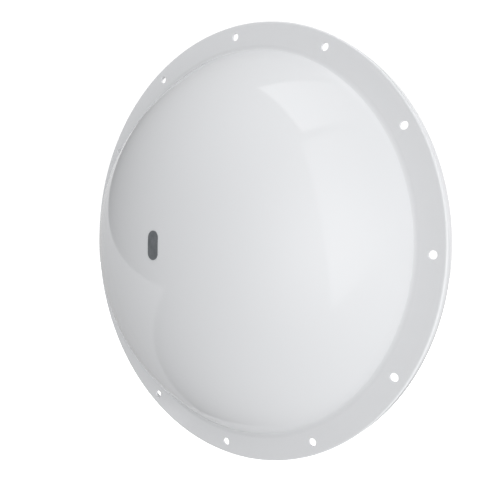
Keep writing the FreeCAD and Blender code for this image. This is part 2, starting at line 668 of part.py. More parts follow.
def rim_seal():
    """Rubber face ring with an outer band over the turned lip, notched like the rim."""
    body = new_body("rim_seal")
    profile = sketch_on(body, "XY_Plane")
    inner = "rim_radius + seal_slack"
    outer = "radome_radius - radome_wall - body_gap"
    outline(profile, [
        ("aperture_radius", f"-{RIM_FRONT}"), (inner, f"-{RIM_FRONT}"),
        (inner, f"-{RIM_FRONT} + lip_depth"), (outer, f"-{RIM_FRONT} + lip_depth"),
        (outer, f"-{SEAL_FRONT}"), ("aperture_radius", f"-{SEAL_FRONT}")])
    revolution(body, profile)
    notch = sketch_on(body, "XZ_Plane", f"{RIM_FRONT} - lip_depth")
    outline(notch, [
        ("notch_inside", "-notch_half_width"), ("radome_radius", "-notch_half_width"),
        ("radome_radius", "notch_half_width"), ("notch_inside", "notch_half_width")])
    around(body, pocket(body, notch, "lip_depth + seal_thick"), "hole_count")


def hub_fasteners():
    """Clamp ring inside the dish, and the bolts, washers and nuts through dish and hub plate."""
    places = on_circle("hub_bolt_circle", "hub_bolt_count", HUB_BOLT_START)
    body = new_body("hub_clamp_ring")
    ring = sketch_on(body, "XZ_Plane", SEAT_FRONT)
    circle(ring, ("0", "0"), "ring_outside")
    circle(ring, ("0", "0"), "ring_inside")
    for place in places:
        circle(ring, place, "hub_bolt_radius + bolt_gap")
    pad(body, ring, "ring_thick")
    head = f"-{SEAT_FRONT} - ring_thick"
    bolts("hub_bolts", "hub_bolt_radius", "ring_thick + dish_thick + hub_thick + washer_thick",
          [((x, head, z), ALONG_Y) for x, z in places])
    rings("hub_washers", "hub_bolt_radius + running_gap", "hub_bolt_radius * 2", "washer_thick",
          [((x, f"-{HUB_BACK}", z), ALONG_Y) for x, z in places])
    nuts("hub_nuts", "hub_bolt_radius", [((x, f"-{HUB_BACK} + washer_thick", z), ALONG_Y) for x, z in places])


def polarity_dogs():
    """Three dogs that hold the feed flange against the hub plate, each with a cap screw."""
    lip_front = f"({FEED_BACK} - body_gap)"
    back = f"-{lip_front} + dog_lip"
    screw_size = "stud_radius * cap_head_ratio"
    dogs = []
    screws = []
    for index in range(DOG_COUNT):
        foot = box(("feed_flange_radius + dog_slack", f"-{HUB_BACK}", "-dog_half_width"),
                   ("dog_outside", back, "dog_half_width"))
        lip = box(("dog_inside", f"-{lip_front}", "-dog_half_width"), ("dog_outside", back, "dog_half_width"))
        screw = cylinder(screw_size, screw_size, ("dog_outside - dog_screw_inset", back, "0"), ALONG_Y)
        for item, group in ((fuse([foot, lip]), dogs), (screw, screws)):
            turned = doc.addObject("Part::Compound", "Turned")
            turned.Links = [item]
            turned.Placement = Placement(Vector(), Rotation(ALONG_Y, DOG_START + 360 * index / DOG_COUNT))
            group.append(turned)
    keep(fuse(dogs), "polarity_dogs")
    keep(fuse(screws), "dog_screws")


def earth_stud():
    foot = ("0", f"-{HUB_BACK}", "stud_level")
    keep(cylinder("stud_radius", "stud_length", foot, ALONG_Y), "earth_stud")
    nuts("earth_nut", "stud_radius", [(foot, ALONG_Y)])


# ---------------------------------------------------------------- feed

def feed():
    """Feed tube with its rear flange, the waveguide block behind it, and the splash plate in front."""
    length = f"feed_mouth - {FEED_FRONT}"
    tube_foot = ("0", f"-{FEED_FRONT}", "0")
    tube = cylinder("feed_radius", length, tube_foot, AHEAD)
    keep(cut(tube, [cylinder("feed_bore", length, tube_foot, AHEAD)]), "feed_tube")
    flange_foot = ("0", f"-{FEED_BACK}", "0")
    flange = cylinder("feed_flange_radius", "feed_flange_thick", flange_foot, AHEAD)
    keep(cut(flange, [cylinder("feed_bore", "feed_flange_thick", flange_foot, AHEAD)]), "feed_flange")
    block = box(("-block_half", f"-{FEED_BACK}", "-block_half"),
                ("block_half", f"-{FEED_BACK} + block_length", "block_half"))
    keep(block, "transition_block")
    cone_sizes = {"Radius1": "feed_radius", "Radius2": "cone_radius", "Height": "cone_length"}
    keep(primitive("Cone", cone_sizes, ("0", "-feed_mouth", "0"), AHEAD), "feed_cone")
    body = new_body("splash_plate")
    profile = sketch_on(body, "XY_Plane")
    rear = "-feed_mouth - cone_length"
    front = f"{rear} - splash_thick"
    outline(profile, [
        ("0", rear), ("splash_radius - splash_chamfer", rear), ("splash_radius", f"{rear} - splash_chamfer"),
        ("splash_radius", front), ("splash_dish_radius", front),
        ("splash_dish_radius - splash_dish_rise", f"{front} - splash_dish_rise"),
        ("0", f"{front} - splash_dish_rise")])
    revolution(body, profile)


def rf_ports():
    """Two coaxial connectors on the block, one below and one beside, with dust caps."""
    barrels = []
    caps = []
    reach = f"-{PORT_REACH}"
    for along, low, high in (
            (-ALONG_Z, ("-port_pad", f"{reach} - port_pad", "-block_half - port_pad_thick"),
             ("port_pad", f"{reach} + port_pad", "-block_half")),
            (ALONG_X, ("block_half", f"{reach} - port_pad", "-port_pad"),
             ("block_half + port_pad_thick", f"{reach} + port_pad", "port_pad"))):
        foot = moved(("0", reach, "0"), along, "block_half + port_pad_thick")
        barrels += [box(low, high), cylinder("port_radius", "port_length", foot, along)]
        caps.append(cylinder("cap_radius", "cap_length", moved(foot, along, "port_length"), along))
    keep(fuse(barrels), "rf_connectors")
    keep(fuse(caps), "connector_caps")


# ---------------------------------------------------------------- radome

def radome_shell():
    """Shallow dome with a curved foot, flat flange with the rim holes, and a skirt turned back."""
    body = new_body("radome_shell")
    profile = sketch_on(body, "XY_Plane")
    back = "(flange_reach - flange_thick)"
    hollow = "(dome_sphere - radome_wall)"
    inner_edge = f"sqrt({hollow}^2 - ({back} - {DOME_CENTRE})^2)"
    inside = "radome_radius - radome_wall"
    foot_curve = f"((dome_foot - dome_edge)^2 + {EDGE_RISE}^2) / (2 * {EDGE_RISE})"
    outline(profile, [
        ("0", f"-({DOME_CENTRE} + {hollow})", hollow, "left"), (inner_edge, f"-{back}"), (inside, f"-{back}"),
        (inside, "-flange_reach + skirt_depth"), ("radome_radius", "-flange_reach + skirt_depth"),
        ("radome_radius", "-flange_reach + skirt_corner", "skirt_corner", "right"),
        ("radome_radius - skirt_corner", "-flange_reach"),
        ("dome_foot", "-flange_reach", foot_curve, "left"),
        ("dome_edge", f"-flange_reach - {EDGE_RISE}", "dome_sphere", "right"),
        ("0", "-flange_reach - dome_rise")])
    revolution(body, profile)
    hole = sketch_on(body, "XZ_Plane", back)
    circle(hole, ("hole_circle", "0"), "hole_radius")
    around(body, pocket(body, hole, "flange_thick"), "hole_count")


def boresight_badge():
    """A small oblong badge that follows the top of the dome."""
    centre = ("0", f"-{DOME_CENTRE}", "0")
    inner = "(dome_sphere + running_gap / 2)"
    outer = primitive("Sphere", {"Radius": f"{inner} + badge_thick"}, centre)
    shell = cut(outer, [primitive("Sphere", {"Radius": inner}, centre)])
    straight = "(badge_half_length - badge_half_width)"
    foot = "-flange_reach - dome_rise + badge_depth / 2"
    middle = box(("-badge_half_width", f"{foot} - badge_depth", f"-{straight}"),
                 ("badge_half_width", foot, straight))
    ends = [cylinder("badge_half_width", "badge_depth", ("0", foot, f"{side} * {straight}"), AHEAD)
            for side in SIDES]
    prism = fuse([middle, *ends])
    badge = doc.addObject("Part::Common", "Badge")
    badge.Base = shell
    badge.Tool = prism
    keep(badge, "boresight_badge")


def check(item):
    broken = {"Invalid", "Error"} & set(item.State)
    if broken:
        raise RuntimeError(f"{item.Name} ({item.Label}): {sorted(broken)}")


def export():
    doc.recompute()
    for item in doc.Objects:
        check(item)
    os.makedirs("parts", exist_ok=True)
    for item in subparts:
        if item.Shape.isNull() or not item.Shape.isValid():
            raise RuntimeError(f"{item.Label}: no valid shape")
    for item in subparts:
        item.Shape.exportStep(f"parts/{item.Label}.step")
        print(f"{item.Label}: {len(item.Shape.Solids)} solids, {item.Shape.Volume / 1000:.1f} cm3")


fill_sheet()
mast_bracket()
kingpin_lug("kingpin_lug_upper", "lug_inside")
kingpin_lug("kingpin_lug_lower", "-lug_inside - lug_thick")
clamp_jaw("clamp_jaw_upper", 1)
clamp_jaw("clamp_jaw_lower", -1)
clamp_fasteners()
kingpin()
azimuth_yoke()
yoke_fittings()
adjuster()
trunnion()
rear_hub()
reflector()
rim_seal()
hub_fasteners()
polarity_dogs()
earth_stud()
feed()
rf_ports()
radome_shell()
boresight_badge()
export()
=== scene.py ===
import json
import math
import bmesh
import bpy
from mathutils import Matrix, Vector


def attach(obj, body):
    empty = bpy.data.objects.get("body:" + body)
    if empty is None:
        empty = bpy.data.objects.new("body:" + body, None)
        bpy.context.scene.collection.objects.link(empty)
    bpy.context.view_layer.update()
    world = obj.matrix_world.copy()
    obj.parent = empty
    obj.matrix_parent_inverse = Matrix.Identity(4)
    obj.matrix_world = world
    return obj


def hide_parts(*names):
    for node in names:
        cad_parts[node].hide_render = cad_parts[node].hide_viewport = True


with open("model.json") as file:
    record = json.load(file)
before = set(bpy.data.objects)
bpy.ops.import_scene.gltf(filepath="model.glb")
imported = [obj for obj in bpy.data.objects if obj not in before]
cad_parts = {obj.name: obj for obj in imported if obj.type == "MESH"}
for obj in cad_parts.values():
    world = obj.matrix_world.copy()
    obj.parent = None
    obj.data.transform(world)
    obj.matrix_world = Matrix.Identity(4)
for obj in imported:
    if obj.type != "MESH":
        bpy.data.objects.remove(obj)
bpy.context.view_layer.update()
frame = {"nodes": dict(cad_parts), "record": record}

# Looks of a mast-mounted dish antenna with a domed radome.
# The tables below are in millimetres in the row frame: +Z up the mast, the antenna looks along -Y.
# A "reach" is a distance in front of the mast axis, so a point at a reach has y = -reach.
MM = 0.001
ALONG_X = Vector((1, 0, 0))
ALONG_Y = Vector((0, 1, 0))
ALONG_Z = Vector((0, 0, 1))
AHEAD = Vector((0, -1, 0))
SIDES = (1, -1)

# ---------------------------------------------------------------- camera and light

CAMERA_PLACE = (0.51935, -0.98389, 0.03321)
CAMERA_YAW = 37.67
CAMERA_PITCH = -3.01
CAMERA_ROLL = 1.41
CAMERA_LENS = 38.376
CAMERA_SENSOR = 36.0

FLOOR_LEVEL = -1.2
FLOOR_HALF = 12.0

# Soft lights of the studio: azimuth from +X towards -Y, elevation, sharpness of the fade, strength.
SOFT_LIGHTS = [
    (40, 0, 4, 1.69),
    (80, 70, 4, 0.9),
    (80, -70, 4, 0.3),
    (-40, -30, 4, 1.12),
    (0, 60, 4, 0.1),
    (140, -70, 1, 0.32),
    (180, 45, 4, 0.32),
    (-120, 45, 4, 0.5),
    (-70, -45, 4, 0.2),
]

# Light panels with edges, seen as reflections: strength, then the inward directions of their edges,
# and the reach of the fade away from the first edge.
PANELS = [
    (0.8, [(0.666, 0.726, 0.169), (0.789, -0.312, -0.529), (-0.194, -0.821, 0.538)], 0.55),
    (1.35, [(0.512, 0.828, 0.228), (0.591, -0.805, 0.057), (-0.795, 0.393, 0.462)], 0.50),
    (0.63, [(0.0, 0.45, -0.893), (-0.608, 0.18, 0.773)], 1.20),
]
PANEL_EDGE = 0.01
STUDIO_COLOUR = (0.985, 0.99, 1.0, 1)
BACKDROP_STRENGTH = 1.1
WHITE = (1, 1, 1, 1)


def make_camera():
    data = bpy.data.cameras.new("camera")
    data.lens = CAMERA_LENS
    data.sensor_width = CAMERA_SENSOR
    camera = bpy.data.objects.new("camera", data)
    turn = (Matrix.Rotation(math.radians(CAMERA_YAW), 4, "Z")
            @ Matrix.Rotation(math.radians(90 + CAMERA_PITCH), 4, "X")
            @ Matrix.Rotation(math.radians(CAMERA_ROLL), 4, "Z"))
    camera.matrix_world = Matrix.Translation(CAMERA_PLACE) @ turn
    bpy.context.scene.collection.objects.link(camera)
    bpy.context.scene.camera = camera


def direction(azimuth, elevation):
    """Unit vector towards a light: azimuth from +X towards -Y, elevation above the floor."""
    around = math.radians(azimuth)
    up = math.radians(elevation)
    return Vector((math.cos(up) * math.cos(around), -math.cos(up) * math.sin(around), math.sin(up)))


class Graph:
    """Short-hand for wiring the nodes of a material or of the world."""

    def __init__(self, tree):
        self.tree = tree

    def node(self, kind, **settings):
        node = self.tree.nodes.new("ShaderNode" + kind)
        for name, value in settings.items():
            setattr(node, name, value)
        return node

    def plug(self, socket, value):
        if isinstance(value, bpy.types.NodeSocket):
            self.tree.links.new(value, socket)
        else:
            socket.default_value = value

    def math(self, operation, *values):
        node = self.node("Math", operation=operation)
        for socket, value in zip(node.inputs, values):
            self.plug(socket, value)
        return node.outputs[0]

    def vector(self, operation, *values, output="Value"):
        node = self.node("VectorMath", operation=operation)
        for socket, value in zip(node.inputs, values):
            self.plug(socket, value)
        return node.outputs[output]

    def remap(self, value, low, high, to_low, to_high):
        node = self.node("MapRange", clamp=True)
        for socket, setting in zip(node.inputs, (value, low, high, to_low, to_high)):
            self.plug(socket, setting)
        return node.outputs[0]


def make_world():
    """White to the camera, and a soft studio to the object."""
    world = bpy.data.worlds.new("studio")
    world.use_nodes = True
    bpy.context.scene.world = world
    tree = world.node_tree
    tree.nodes.clear()
    graph = Graph(tree)
    facing = graph.node("TexCoord").outputs["Generated"]
    total = 0.0
    for azimuth, elevation, sharpness, strength in SOFT_LIGHTS:
        towards = graph.vector("DOT_PRODUCT", facing, direction(azimuth, elevation))
        lobe = graph.math("POWER", graph.math("MAXIMUM", towards, 0.0), float(sharpness))
        total = graph.math("MULTIPLY_ADD", lobe, strength, total)
    for strength, edges, fade in PANELS:
        distances = [graph.vector("DOT_PRODUCT", facing, edge) for edge in edges]
        glow = graph.remap(distances[0], 0.0, fade, strength, 0.0)
        for distance in distances:
            inside = graph.remap(distance, -PANEL_EDGE, PANEL_EDGE, 0.0, 1.0)
            glow = graph.math("MULTIPLY", glow, inside)
        total = graph.math("ADD", total, glow)
    studio = graph.node("Background")
    studio.inputs["Color"].default_value = STUDIO_COLOUR
    graph.plug(studio.inputs["Strength"], total)
    backdrop = graph.node("Background")
    backdrop.inputs["Color"].default_value = WHITE
    backdrop.inputs["Strength"].default_value = BACKDROP_STRENGTH
    choice = graph.node("MixShader")
    graph.plug(choice.inputs[0], graph.node("LightPath").outputs["Is Camera Ray"])
    graph.plug(choice.inputs[1], studio.outputs[0])
    graph.plug(choice.inputs[2], backdrop.outputs[0])
    graph.plug(graph.node("OutputWorld").inputs["Surface"], choice.outputs[0])
    bpy.context.scene.view_settings.view_transform = "Standard"


def make_floor():
    """A plain white floor, far enough down to take no shadow."""
    mesh = bpy.data.meshes.new("floor")
    corners = [(x * FLOOR_HALF, y * FLOOR_HALF, FLOOR_LEVEL) for x, y in ((-1, -1), (1, -1), (1, 1), (-1, 1))]
    mesh.from_pydata(corners, [], [(0, 1, 2, 3)])
    floor = bpy.data.objects.new("floor", mesh)
    bpy.context.scene.collection.objects.link(floor)
    material = bpy.data.materials.new("floor")
    material.use_nodes = True
    shader = material.node_tree.nodes["Principled BSDF"]
    shader.inputs["Base Color"].default_value = (0.9, 0.9, 0.9, 1)
    shader.inputs["Roughness"].default_value = 0.9
    shader.inputs["Emission Color"].default_value = WHITE
    shader.inputs["Emission Strength"].default_value = 1.0
    mesh.materials.append(material)
    floor.visible_diffuse = False
    floor.visible_glossy = False
    floor.visible_shadow = False


# ---------------------------------------------------------------- materials

# The values of a noise pattern that count as none and all of it.
NOISE_SPAN = (0.3, 0.7)


class Finish(Graph):
    """One material: a Principled shader with patterns that follow the piece."""

    def __init__(self, name, colour, roughness, metallic=0.0):
        self.material = bpy.data.materials.new(name)
        self.material.use_nodes = True
        super().__init__(self.material.node_tree)
        self.shader = self.tree.nodes["Principled BSDF"]
        self.inputs = self.shader.inputs
        self.inputs["Base Color"].default_value = (*colour, 1)
        self.inputs["Roughness"].default_value = roughness
        self.inputs["Metallic"].default_value = metallic
        self.place = self.node("TexCoord").outputs["Object"]
        self.height = None

    def noise(self, scale, detail):
        """Noise of a given scale per metre."""
        node = self.node("TexNoise")
        self.plug(node.inputs["Vector"], self.place)
        node.inputs["Scale"].default_value = scale
        node.inputs["Detail"].default_value = detail
        return node.outputs["Fac"]

    def tint(self, pattern, first, second, span=NOISE_SPAN):
        """Colour that runs from first to second with the pattern."""
        node = self.node("Mix", data_type="RGBA")
        self.plug(node.inputs["Factor"], self.remap(pattern, *span, 0.0, 1.0))
        self.plug(node.inputs["A"], (*first, 1))
        self.plug(node.inputs["B"], (*second, 1))
        self.plug(self.inputs["Base Color"], node.outputs["Result"])

    def gloss(self, pattern, low, high):
        """Roughness that runs from low to high with a noise pattern."""
        self.plug(self.inputs["Roughness"], self.remap(pattern, *NOISE_SPAN, low, high))

    def relief(self, pattern, distance, strength):
        """Adds a pattern to the surface's bump; distance is its depth in metres."""
        node = self.node("Bump")
        node.inputs["Strength"].default_value = strength
        node.inputs["Distance"].default_value = distance
        self.plug(node.inputs["Height"], pattern)
        if self.height:
            self.plug(node.inputs["Normal"], self.height)
        self.height = node.outputs["Normal"]
        self.plug(self.inputs["Normal"], self.height)

    def from_axis(self):
        """Distance from the boresight, in metres."""
        flat = self.vector("MULTIPLY", self.place, (1, 0, 1), output="Vector")
        return self.vector("LENGTH", flat)

    def along_axis(self):
        """Place along the boresight, in metres."""
        return self.vector("DOT_PRODUCT", self.place, ALONG_Y)

    def grooves(self, value, pitch):
        """A wave from 0 to 1 along a value, as fine tool marks leave it."""
        turns = self.math("MULTIPLY", value, 2 * math.pi / pitch)
        return self.math("MULTIPLY_ADD", self.math("SINE", turns), 0.5, 0.5)


# Distances from the boresight, in metres, where the white begins and ends to turn a shade lighter for the
# flange, a painted lighter shade that stands in for the extra light the flange catches, and the share of that
# change that noise adds everywhere as the plastic's own random tone.
PAINTED_RIM_LIGHT_FADE = (0.2895, 0.2935)
RIM_MOTTLE = 0.16


def moulded_white():
    """Smooth white plastic: the dome, and the flange painted a shade lighter as a stand-in for the extra
    light it catches.
    """
    finish = Finish("radome_white", (0.86, 0.866, 0.872), 0.04)
    # rim masks the flange for a painted lighter shade that stands for light it catches; the noise added to it
    # is the plastic's own random tone.
    rim = finish.remap(finish.from_axis(), *PAINTED_RIM_LIGHT_FADE, 0.0, 1.0)
    shade = finish.math("MULTIPLY_ADD", finish.noise(9, 3), RIM_MOTTLE, rim)
    finish.tint(shade, (0.847, 0.854, 0.864), (0.92, 0.926, 0.936), (0.0, 1.0 + RIM_MOTTLE))
    finish.gloss(finish.noise(40, 3), 0.03, 0.06)
    finish.relief(finish.noise(160, 2), 0.00001, 0.15)
    finish.inputs["IOR"].default_value = 1.5
    return finish


# The other finishes, by slot. plain: colour, roughness, metallic. tint: scale per metre and detail of the
# noise, and the colours it runs between. gloss: the same, with two values of roughness. grain: scale,
# detail, depth in metres and strength of a relief. faced, turned: pitch, depth and strength of tool marks
# spaced outwards from the boresight, and along it. sockets: values set on the shader itself.
FINISHES = {
    "badge_grey": {
        "plain": ((0.17, 0.18, 0.19), 0.35, 0.0),
        "tint": (120, 3, (0.15, 0.16, 0.17), (0.20, 0.21, 0.22)),
        "gloss": (300, 2, 0.30, 0.42),
        "grain": [(2500, 2, 0.00003, 0.3)],
    },
    "painted_casting": {
        "plain": ((0.60, 0.61, 0.62), 0.5, 0.0),
        "tint": (14, 4, (0.57, 0.58, 0.59), (0.64, 0.645, 0.65)),
        "gloss": (70, 4, 0.42, 0.58),
        "grain": [(900, 3, 0.00012, 0.35), (60, 3, 0.0003, 0.12)],
    },
    "plated_steel": {
        "plain": ((0.63, 0.62, 0.58), 0.3, 1.0),
        "tint": (90, 4, (0.66, 0.64, 0.56), (0.56, 0.58, 0.60)),
        "gloss": (220, 3, 0.22, 0.42),
        "grain": [(1600, 2, 0.00003, 0.25)],
    },
    "nylon": {
        "plain": ((0.85, 0.84, 0.78), 0.45, 0.0),
        "tint": (80, 3, (0.83, 0.82, 0.75), (0.87, 0.86, 0.81)),
        "gloss": (200, 2, 0.38, 0.52),
        "grain": [(1200, 2, 0.00003, 0.3)],
        "sockets": {"Subsurface Weight": 0.05, "Subsurface Radius": (0.002, 0.002, 0.0015)},
    },
    "dish_aluminium": {
        "plain": ((0.77, 0.78, 0.79), 0.32, 1.0),
        "tint": (6, 2, (0.75, 0.763, 0.776), (0.79, 0.797, 0.804)),
        "gloss": (12, 2, 0.28, 0.36),
        "faced": [(0.005, 0.00004, 0.2), (0.019, 0.0002, 0.10)],
    },
    "seal_rubber": {
        "plain": ((0.03, 0.03, 0.032), 0.75, 0.0),
        "tint": (50, 4, (0.022, 0.022, 0.024), (0.055, 0.054, 0.052)),
        "gloss": (160, 3, 0.62, 0.85),
        "grain": [(1400, 3, 0.00008, 0.5)],
    },
    "feed_metal": {
        "plain": ((0.72, 0.73, 0.74), 0.25, 1.0),
        "tint": (45, 3, (0.69, 0.70, 0.72), (0.75, 0.76, 0.765)),
        "gloss": (150, 3, 0.18, 0.34),
        "turned": [(0.0007, 0.00001, 0.25)],
    },
    "connector_brass": {
        "plain": ((0.72, 0.60, 0.35), 0.28, 1.0),
        "tint": (160, 3, (0.70, 0.57, 0.32), (0.76, 0.66, 0.43)),
        "gloss": (400, 3, 0.2, 0.36),
        "grain": [(1800, 2, 0.00002, 0.3)],
    },
    "cap_plastic": {
        "plain": ((0.05, 0.05, 0.052), 0.45, 0.0),
        "tint": (120, 3, (0.04, 0.04, 0.042), (0.07, 0.07, 0.072)),
        "gloss": (350, 2, 0.38, 0.55),
        "grain": [(2200, 3, 0.00005, 0.4)],
    },
    "feed_plastic": {
        "plain": ((0.90, 0.89, 0.85), 0.4, 0.0),
        "tint": (60, 3, (0.88, 0.87, 0.83), (0.92, 0.915, 0.88)),
        "gloss": (150, 2, 0.34, 0.46),
        "faced": [(0.0009, 0.00002, 0.3)],
    },
}


def make_finish(slot, plain, tint, gloss, grain=(), faced=(), turned=(), sockets=None):
    """The material of one row of the table."""
    finish = Finish(slot, *plain)
    scale, detail, first, second = tint
    finish.tint(finish.noise(scale, detail), first, second)
    scale, detail, low, high = gloss
    finish.gloss(finish.noise(scale, detail), low, high)
    for scale, detail, depth, strength in grain:
        finish.relief(finish.noise(scale, detail), depth, strength)
    for pitch, depth, strength in faced:
        finish.relief(finish.grooves(finish.from_axis(), pitch), depth, strength)
    for pitch, depth, strength in turned:
        finish.relief(finish.grooves(finish.along_axis(), pitch), depth, strength)
    for socket, value in (sockets or {}).items():
        finish.inputs[socket].default_value = value
    return finish


materials = {slot: make_finish(slot, **row).material for slot, row in FINISHES.items()}
materials["radome_white"] = moulded_white().material


# ---------------------------------------------------------------- mesh helpers

POINT_GAP = 1e-6
# The most of a side that a rounded corner may take.
CORNER_SHARE = 0.45


def on_axis(point, axis):
    """Matrix that carries a piece made about the Z axis to a point in millimetres and an axis."""
    turn = ALONG_Z.rotation_difference(axis).to_matrix().to_4x4()
    return Matrix.Translation(Vector(point) * MM) @ turn @ Matrix.Scale(MM, 4)


def skin(bm, rings, where, segments=48, closed=False):
    """Joins rings about an axis. A ring is (radius, height), or gives that pair for an angle."""
    rows = []
    for ring in rings:
        row = []
        for index in range(segments):
            angle = 2 * math.pi * index / segments
            radius, height = ring(angle) if callable(ring) else ring
            point = Vector((radius * math.cos(angle), radius * math.sin(angle), height))
            row.append(bm.verts.new(where @ point))
        rows.append(row)
    if closed:
        rows.append(rows[0])
    for low, high in zip(rows, rows[1:]):
        for index in range(segments):
            after = (index + 1) % segments
            bm.faces.new((low[index], low[after], high[after], high[index]))


def tidy(bm):
    """Joins points that coincide, drops faces with no area, and turns all faces outwards."""
    bmesh.ops.remove_doubles(bm, verts=bm.verts, dist=POINT_GAP)
    bmesh.ops.dissolve_degenerate(bm, edges=bm.edges, dist=POINT_GAP)
    bmesh.ops.recalc_face_normals(bm, faces=bm.faces)


def make_piece(name, bm, body, slot, nodes=(), sharp=30.0, bevel=0.0):
    """Turns a bmesh into a piece that rides on a body and stands for CAD nodes."""
    mesh = bpy.data.meshes.new(name)
    bm.to_mesh(mesh)
    bm.free()
    for polygon in mesh.polygons:
        polygon.use_smooth = True
    mesh.set_sharp_from_angle(angle=math.radians(sharp))
    mesh.materials.append(materials[slot])
    piece = bpy.data.objects.new(name, mesh)
    bpy.context.scene.collection.objects.link(piece)
    if bevel:
        soften(piece, bevel)
    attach(piece, body)
    if nodes:
        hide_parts(*nodes)


def soften(piece, width, angle=32.0):
    """Small rounded edges that catch the light."""
    modifier = piece.modifiers.new("edges", "BEVEL")
    modifier.width = width * MM
    modifier.segments = 2
    modifier.limit_method = "ANGLE"
    modifier.angle_limit = math.radians(angle)
    modifier.harden_normals = True


def arc(centre, radius, start, finish, steps):
    """Points on an arc, as (radius, reach), with the angles in degrees from the direction outwards."""
    points = []
    for index in range(steps + 1):
        angle = math.radians(start + (finish - start) * index / steps)
        points.append((centre[0] + radius * math.cos(angle), centre[1] + radius * math.sin(angle)))
    return points


def rounded(points, corners, distance, steps):
    """The points with the corners at some indexes rounded over a short distance."""
    result = []
    for index, point in enumerate(points):
        if index not in corners:
            result.append(point)
            continue
        here = Vector(point)
        ends = []
        for other in (points[index - 1], points[(index + 1) % len(points)]):
            way = Vector(other) - here
            ends.append(here + way * min(distance / way.length, CORNER_SHARE))
        for step in range(steps + 1):
            share = step / steps
            first = ends[0].lerp(here, share)
            second = here.lerp(ends[1], share)
            result.append(tuple(first.lerp(second, share)))
    return result


# ---------------------------------------------------------------- radome

# Section of the radome. FLANGE, FLANGE_BACK, DOME_CENTRE and SKIRT_REAR are reaches; the dome's outside
# and hollow are two spheres about one centre, and its foot is an arc from DOME_EDGE to DOME_FOOT.
FLANGE = 360.0
FLANGE_BACK = 357.0
DOME_SPHERE = 339.9
DOME_CENTRE = 176.6
DOME_HOLLOW = 337.4
DOME_EDGE = 285.0
DOME_FOOT = 292.8
RADOME_RADIUS = 325.0
SKIRT_INSIDE = 322.5
SKIRT_REAR = 344.0
SKIRT_CORNER = 2.5
HOLE_CIRCLE = 308.1
HOLE_RADIUS = 5.4
HOLE_EDGE = 0.35
HOLE_COUNT = 12
HOLE_MARGIN = 8.0
CUTTER_OVERRUN = 2.0
CREASE_ROUND = 1.2
CREASE_STEPS = 5
REAR_ROUND = 0.5
REAR_STEPS = 3
EDGE_GAP = 0.6
RADOME_SEGMENTS = 384
DOME_STEPS = 96
HOLLOW_STEPS = 64
CORNER_STEPS = 8


def radome_outline():
    """Half section of the radome as (radius, reach), from the apex over the outside and back inside."""
    edge_reach = DOME_CENTRE + math.sqrt(DOME_SPHERE ** 2 - DOME_EDGE ** 2)
    rise = edge_reach - FLANGE
    foot = ((DOME_FOOT - DOME_EDGE) ** 2 + rise ** 2) / (2 * rise)
    edge_angle = math.degrees(math.acos(DOME_EDGE / DOME_SPHERE))
    foot_start = 180 + math.degrees(math.acos((DOME_FOOT - DOME_EDGE) / foot))
    hollow_angle = math.degrees(math.asin((FLANGE_BACK - DOME_CENTRE) / DOME_HOLLOW))
    flat = (HOLE_CIRCLE - HOLE_MARGIN, HOLE_CIRCLE + HOLE_MARGIN)
    outside = arc((0, DOME_CENTRE), DOME_SPHERE, 90, edge_angle, DOME_STEPS)
    crease = len(outside) - 1
    outside += arc((DOME_FOOT, FLANGE + foot), foot, foot_start, 270, CORNER_STEPS)[1:]
    outside += [(DOME_FOOT + EDGE_GAP, FLANGE), (flat[0], FLANGE), (flat[1], FLANGE),
                (RADOME_RADIUS - SKIRT_CORNER - EDGE_GAP, FLANGE)]
    corner = (RADOME_RADIUS - SKIRT_CORNER, FLANGE - SKIRT_CORNER)
    outside += arc(corner, SKIRT_CORNER, 90, 0, CORNER_STEPS)
    skirt_end = len(outside)
    outside += [(RADOME_RADIUS, SKIRT_REAR), (SKIRT_INSIDE, SKIRT_REAR), (SKIRT_INSIDE, FLANGE_BACK),
                (flat[1], FLANGE_BACK), (flat[0], FLANGE_BACK)]
    inside = arc((0, DOME_CENTRE), DOME_HOLLOW, hollow_angle, 90, HOLLOW_STEPS)
    points = rounded(outside + inside, {crease}, CREASE_ROUND, CREASE_STEPS)
    shift = len(points) - len(outside + inside)
    ends = {skirt_end + shift, skirt_end + shift + 1}
    return rounded(points, ends, REAR_ROUND, REAR_STEPS)


def cut_holes(bm):
    """Opens the rim holes, each with a small chamfer at both ends, and gives the new mesh back."""
    cutter = bmesh.new()
    for index in range(HOLE_COUNT):
        turn = 2 * math.pi * index / HOLE_COUNT
        at = (HOLE_CIRCLE * math.cos(turn), 0, HOLE_CIRCLE * math.sin(turn))
        rear = FLANGE_BACK - CUTTER_OVERRUN
        front = FLANGE + CUTTER_OVERRUN
        wide = HOLE_RADIUS + HOLE_EDGE
        rings = [(0, rear), (wide, rear), (wide, FLANGE_BACK), (HOLE_RADIUS, FLANGE_BACK + HOLE_EDGE),
                 (HOLE_RADIUS, FLANGE - HOLE_EDGE), (wide, FLANGE), (wide, front), (0, front)]
        skin(cutter, rings, on_axis(at, AHEAD))
    tidy(cutter)
    objects = []
    for name, source in (("solid", bm), ("cutter", cutter)):
        mesh = bpy.data.meshes.new(name)
        source.to_mesh(mesh)
        source.free()
        item = bpy.data.objects.new(name, mesh)
        bpy.context.scene.collection.objects.link(item)
        objects.append(item)
    solid, tool = objects
    modifier = solid.modifiers.new("holes", "BOOLEAN")
    modifier.operation = "DIFFERENCE"
    modifier.object = tool
    modifier.solver = "EXACT"
    result = bmesh.new()
    result.from_object(solid, bpy.context.evaluated_depsgraph_get())
    for item in objects:
        bpy.data.objects.remove(item)
    return result


def make_radome():
    """The white moulding: dome, foot, drilled flange and skirt."""
    bm = bmesh.new()
    skin(bm, radome_outline(), on_axis((0, 0, 0), AHEAD), RADOME_SEGMENTS)
    tidy(bm)
    make_piece("radome_moulding", cut_holes(bm), "radome", "radome_white", ["radome_shell"])


# ---------------------------------------------------------------- fasteners

